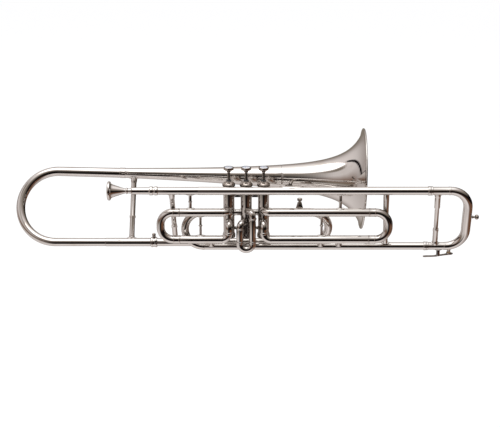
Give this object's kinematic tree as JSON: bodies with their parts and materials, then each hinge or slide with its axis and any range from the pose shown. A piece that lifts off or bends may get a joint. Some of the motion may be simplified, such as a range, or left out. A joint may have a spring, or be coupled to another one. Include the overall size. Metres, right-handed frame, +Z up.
{
  "type": "valve trombone",
  "caption": "Tenor trombone with piston valves in place of a playing slide, a large flared bell, tuning slides and a water key.",
  "frame": {"origin": "centre of the middle valve casing, where the hand that holds the instrument closes round the valve row", "axes": "+X along the tubes and out of the bell, +Y from the mouthpiece and valve side towards the bell side, +Z up along the valves towards the finger buttons"},
  "size_m": [0.8362, 0.2131, 0.2156],
  "materials": {
    "nickel": "polished nickel plate",
    "steel": "dull drawn metal",
    "pearl": "pearly",
    "cork": "cork"
  },
  "bodies": {
    "horn": {"valve_casing_1": "nickel", "top_cap_1": "nickel", "bottom_cap_1": "nickel", "valve_spring_1": "steel", "valve_casing_2": "nickel", "top_cap_2": "nickel", "bottom_cap_2": "nickel", "valve_spring_2": "steel", "valve_casing_3": "nickel", "top_cap_3": "nickel", "bottom_cap_3": "nickel", "valve_spring_3": "steel", "port_tube_12": "nickel", "port_tube_23": "nickel", "casing_bridge_12": "nickel", "casing_bridge_23": "nickel", "mouthpiece_receiver": "nickel", "leadpipe": "nickel", "lead_slide_tube": "nickel", "return_bend": "nickel", "return_tube": "nickel", "branch_bend": "nickel", "branch_tube": "nickel", "lead_branch_brace": "nickel", "lead_slide_1_brace": "nickel", "lead_slide_3_brace": "nickel", "lead_return_brace": "nickel", "slide_1_upper_tube": "nickel", "slide_1_lower_tube": "nickel", "slide_3_upper_tube": "nickel", "slide_3_lower_tube": "nickel", "slide_2_left_tube": "nickel", "slide_2_right_tube": "nickel", "bell_flare": "nickel", "bell_tail": "nickel", "bell_bow": "nickel", "bell_leg": "nickel", "bell_leg_brace": "nickel", "bell_stay": "nickel", "lock_collar": "nickel", "lyre_box": "nickel"},
    "valve_1": {"piston_1": "steel", "finger_button_1": "nickel", "button_pearl_1": "pearl"},
    "valve_2": {"piston_2": "steel", "finger_button_2": "nickel", "button_pearl_2": "pearl"},
    "valve_3": {"piston_3": "steel", "finger_button_3": "nickel", "button_pearl_3": "pearl"},
    "tuning_slide_body": {"tuning_slide": "nickel", "tuning_brace": "nickel"},
    "water_key_lever": {"water_key": "nickel", "water_key_cork": "cork"},
    "slide_1": {"slide_1_crook": "nickel"},
    "slide_2": {"slide_2_crook": "nickel"},
    "slide_3": {"slide_3_crook": "nickel"},
    "mouthpiece_body": {"mouthpiece": "nickel"},
    "lock_screw_body": {"lock_screw": "nickel"},
    "lyre_screw_body": {"lyre_screw": "nickel"}
  },
  "joints": [
    {"name": "valve_1_press", "type": "slide", "parent": "horn", "child": "valve_1", "axis": [0, 0, -1], "range_m": [0, 0.014], "stiffness_N_per_m": 150, "springref_m": -0.02, "deforming": ["valve_spring_1"]},
    {"name": "valve_2_press", "type": "slide", "parent": "horn", "child": "valve_2", "axis": [0, 0, -1], "range_m": [0, 0.014], "stiffness_N_per_m": 150, "springref_m": -0.02, "deforming": ["valve_spring_2"]},
    {"name": "valve_3_press", "type": "slide", "parent": "horn", "child": "valve_3", "axis": [0, 0, -1], "range_m": [0, 0.014], "stiffness_N_per_m": 150, "springref_m": -0.02, "deforming": ["valve_spring_3"]},
    {"name": "tuning_slide_pull", "type": "slide", "parent": "horn", "child": "tuning_slide_body", "axis": [1, 0, 0], "range_m": [0, 0.06]},
    {"name": "water_key_press", "type": "hinge", "parent": "tuning_slide_body", "child": "water_key_lever", "pos_m": [0.3475, 0.002, -0.0883], "axis": [0, 1, 0], "range_deg": [0, 20], "stiffness_Nm_per_rad": 0.06, "springref_deg": -22.92},
    {"name": "slide_1_pull", "type": "slide", "parent": "horn", "child": "slide_1", "axis": [-1, 0, 0], "range_m": [0, 0.04]},
    {"name": "slide_2_pull", "type": "slide", "parent": "horn", "child": "slide_2", "axis": [0, 0, -1], "range_m": [0, 0.012]},
    {"name": "slide_3_pull", "type": "slide", "parent": "horn", "child": "slide_3", "axis": [1, 0, 0], "range_m": [0, 0.06]},
    {"name": "mouthpiece_pull", "type": "slide", "parent": "horn", "child": "mouthpiece_body", "axis": [-1, 0, 0], "range_m": [0, 0.02]},
    {"name": "lock_screw_turn", "type": "hinge", "parent": "horn", "child": "lock_screw_body", "pos_m": [-0.168, 0.02, -0.06], "axis": [0, 0, 1], "range_deg": [0, 360]},
    {"name": "lyre_screw_turn", "type": "hinge", "parent": "horn", "child": "lyre_screw_body", "pos_m": [0.0954, 0, 0.014], "axis": [0, 0, 1], "range_deg": [0, 360]}
  ]
}
